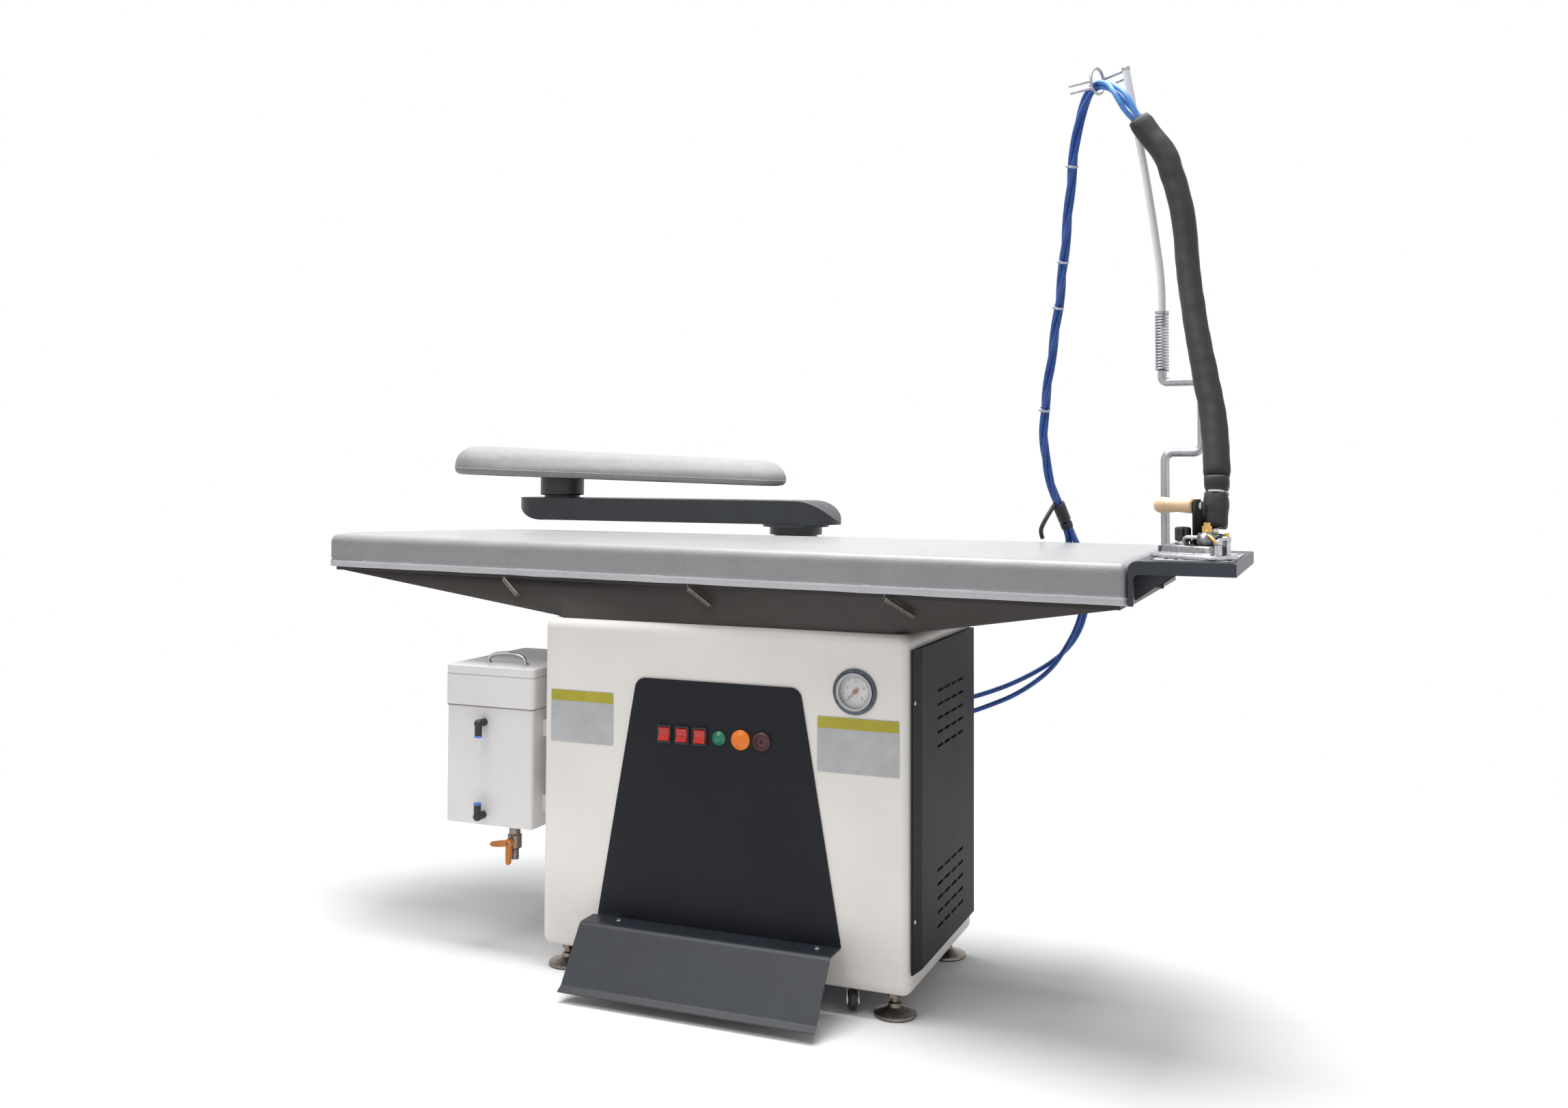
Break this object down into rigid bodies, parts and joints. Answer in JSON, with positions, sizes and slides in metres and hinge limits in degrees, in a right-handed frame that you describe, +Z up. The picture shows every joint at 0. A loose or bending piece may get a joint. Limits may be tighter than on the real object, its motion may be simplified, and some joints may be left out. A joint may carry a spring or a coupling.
{
  "type": "vacuum ironing table",
  "caption": "Cabinet ironing table with a vacuum board, steam boiler, foot pedal, water tank, swinging sleeve board, hose mast and steam iron on a side rest.",
  "frame": {"origin": "on the floor, under the middle of the whole machine's box without its free hoses", "axes": "+X to the operator's right, +Y from the operator's side to the back, +Z up"},
  "size_m": [2.0153, 0.8666, 1.766],
  "materials": {
    "cream_paint": "satin",
    "slate_paint": "satin",
    "dark_paint": "matte",
    "hood_paint": "matte",
    "bare_steel": "satin",
    "zinc_steel": "satin",
    "chrome": "polished",
    "brass": "satin",
    "black_plastic": "matte",
    "red_plastic": "gloss",
    "lamp_plastic": "gloss",
    "orange_plastic": "satin",
    "dial_white": "matte",
    "clear_glass": "clear",
    "rubber_black": "matte",
    "mat_silicone": "matte",
    "cover_cloth": "woven",
    "foam": "soft",
    "pad_cloth": "woven",
    "hose_blue": "satin",
    "sleeve_black": "woven",
    "tie_black": "matte",
    "wood": "varnished"
  },
  "bodies": {
    "machine": {"alarm_buzzer": "black_plastic", "arm_post": "slate_paint", "back_panel": "cream_paint", "base_tray": "zinc_steel", "boiler": "bare_steel", "boiler_fittings": "brass", "cabinet_shell": "cream_paint", "control_panel": "dark_paint", "cover_springs": "chrome", "drain_valve": "brass", "fan_housing": "bare_steel", "feed_pump": "brass", "foam_pad": "foam", "gauge_case": "chrome", "gauge_dial": "dial_white", "gauge_glass": "clear_glass", "hose_bundle": "hose_blue", "hose_sleeve": "sleeve_black", "hose_sleeve_end": "sleeve_black", "hose_tails": "hose_blue", "hose_ties": "tie_black", "iron_rest": "slate_paint", "mast_rod": "chrome", "pedal_bracket": "slate_paint", "pilot_lamps": "lamp_plastic", "rest_mat": "mat_silicone", "screws": "chrome", "side_cover": "dark_paint", "sight_fittings": "black_plastic", "sight_tube": "clear_glass", "suction_hood": "hood_paint", "switch_bezels": "black_plastic", "table_cover": "cover_cloth", "table_deck": "zinc_steel", "water_tank": "cream_paint"},
    "rocker_left": {"rocker_left": "red_plastic"},
    "rocker_middle": {"rocker_middle": "red_plastic"},
    "rocker_right": {"rocker_right": "red_plastic"},
    "needle": {"gauge_needle": "black_plastic"},
    "pedal": {"pedal": "slate_paint"},
    "lid": {"tank_lid": "cream_paint", "lid_handle": "chrome"},
    "drain_lever": {"drain_lever": "orange_plastic"},
    "arm": {"swing_arm": "slate_paint"},
    "sleeve_board": {"sleeve_board": "slate_paint", "sleeve_pad": "pad_cloth"},
    "mast_top": {"mast_top": "chrome"},
    "iron": {"iron_body": "bare_steel", "iron_handle": "wood", "iron_fittings": "brass"},
    "iron_knob": {"iron_knob": "black_plastic"},
    "fan": {"fan_impeller": "zinc_steel"},
    "foot_front_left": {"foot_front_left": "rubber_black"},
    "foot_front_right": {"foot_front_right": "rubber_black"},
    "foot_back_left": {"foot_back_left": "rubber_black"},
    "foot_back_right": {"foot_back_right": "rubber_black"},
    "caster_left": {"caster_fork_left": "zinc_steel"},
    "caster_right": {"caster_fork_right": "zinc_steel"},
    "wheel_left": {"caster_wheel_left": "rubber_black"},
    "wheel_right": {"caster_wheel_right": "rubber_black"}
  },
  "joints": [
    {"name": "rocker_left_turn", "type": "hinge", "parent": "machine", "child": "rocker_left", "pos_m": [-0.07537, -0.28447, 0.487], "axis": [1, 0, 0], "range_deg": [0, 16]},
    {"name": "rocker_middle_turn", "type": "hinge", "parent": "machine", "child": "rocker_middle", "pos_m": [-0.03737, -0.28447, 0.487], "axis": [1, 0, 0], "range_deg": [0, 16]},
    {"name": "rocker_right_turn", "type": "hinge", "parent": "machine", "child": "rocker_right", "pos_m": [0.00063, -0.28447, 0.487], "axis": [1, 0, 0], "range_deg": [0, 16]},
    {"name": "needle_turn", "type": "hinge", "parent": "machine", "child": "needle", "pos_m": [0.31363, -0.28266, 0.592], "axis": [0, 1, 0], "range_deg": [0, 270], "stiffness_Nm_per_rad": 0.0005},
    {"name": "pedal_press", "type": "hinge", "parent": "machine", "child": "pedal", "pos_m": [0.03363, -0.29467, 0.104], "axis": [1, 0, 0], "range_deg": [0, 4], "stiffness_Nm_per_rad": 25, "springref_deg": -8.59},
    {"name": "lid_lift", "type": "slide", "parent": "machine", "child": "lid", "axis": [0, 0, 1], "range_m": [0, 0.06]},
    {"name": "drain_turn", "type": "hinge", "parent": "machine", "child": "drain_lever", "pos_m": [-0.45437, -0.24267, 0.227], "axis": [0, -1, 0], "range_deg": [0, 90]},
    {"name": "arm_swing", "type": "hinge", "parent": "machine", "child": "arm", "pos_m": [-0.04137, 0.32133, 0.874], "axis": [0, 0, 1], "range_deg": [-30, 100]},
    {"name": "board_swivel", "type": "hinge", "parent": "arm", "child": "sleeve_board", "pos_m": [-0.67037, 0.32133, 0.928], "axis": [0, 0, 1], "range_deg": [-170, 170]},
    {"name": "mast_lean", "type": "hinge", "parent": "machine", "child": "mast_top", "pos_m": [0.84263, -0.08267, 1.185], "axis": [0, 1, 0], "range_deg": [-10, 10], "stiffness_Nm_per_rad": 25, "deforming": ["hose_bundle", "hose_sleeve"]},
    {"name": "iron_lift", "type": "slide", "parent": "machine", "child": "iron", "axis": [0, 0, 1], "range_m": [0, 0.06], "deforming": ["hose_sleeve_end"]},
    {"name": "knob_turn", "type": "hinge", "parent": "iron", "child": "iron_knob", "pos_m": [0.9025, -0.30221, 0.9], "axis": [0, 0, 1], "range_deg": [0, 270]},
    {"name": "fan_spin", "type": "hinge", "parent": "machine", "child": "fan", "pos_m": [-0.11637, -0.07267, 0.64], "axis": [0, 0, 1], "continuous": true},
    {"name": "foot_front_left_turn", "type": "hinge", "parent": "machine", "child": "foot_front_left", "pos_m": [-0.31137, -0.24067, 0], "axis": [0, 0, 1], "continuous": true},
    {"name": "foot_back_left_turn", "type": "hinge", "parent": "machine", "child": "foot_back_left", "pos_m": [-0.31137, 0.10933, 0], "axis": [0, 0, 1], "continuous": true},
    {"name": "foot_front_right_turn", "type": "hinge", "parent": "machine", "child": "foot_front_right", "pos_m": [0.37863, -0.24067, 0], "axis": [0, 0, 1], "continuous": true},
    {"name": "foot_back_right_turn", "type": "hinge", "parent": "machine", "child": "foot_back_right", "pos_m": [0.37863, 0.10933, 0], "axis": [0, 0, 1], "continuous": true},
    {"name": "caster_left_swivel", "type": "hinge", "parent": "machine", "child": "caster_left", "pos_m": [-0.22637, -0.23867, 0.04], "axis": [0, 0, 1], "continuous": true},
    {"name": "wheel_left_roll", "type": "hinge", "parent": "caster_left", "child": "wheel_left", "pos_m": [-0.23537, -0.25425, 0.022], "axis": [0.866, -0.5, 0], "continuous": true},
    {"name": "caster_right_swivel", "type": "hinge", "parent": "machine", "child": "caster_right", "pos_m": [0.29363, -0.23867, 0.04], "axis": [0, 0, 1], "continuous": true},
    {"name": "wheel_right_roll", "type": "hinge", "parent": "caster_right", "child": "wheel_right", "pos_m": [0.30095, -0.25511, 0.022], "axis": [0.9135, 0.4067, 0], "continuous": true}
  ]
}
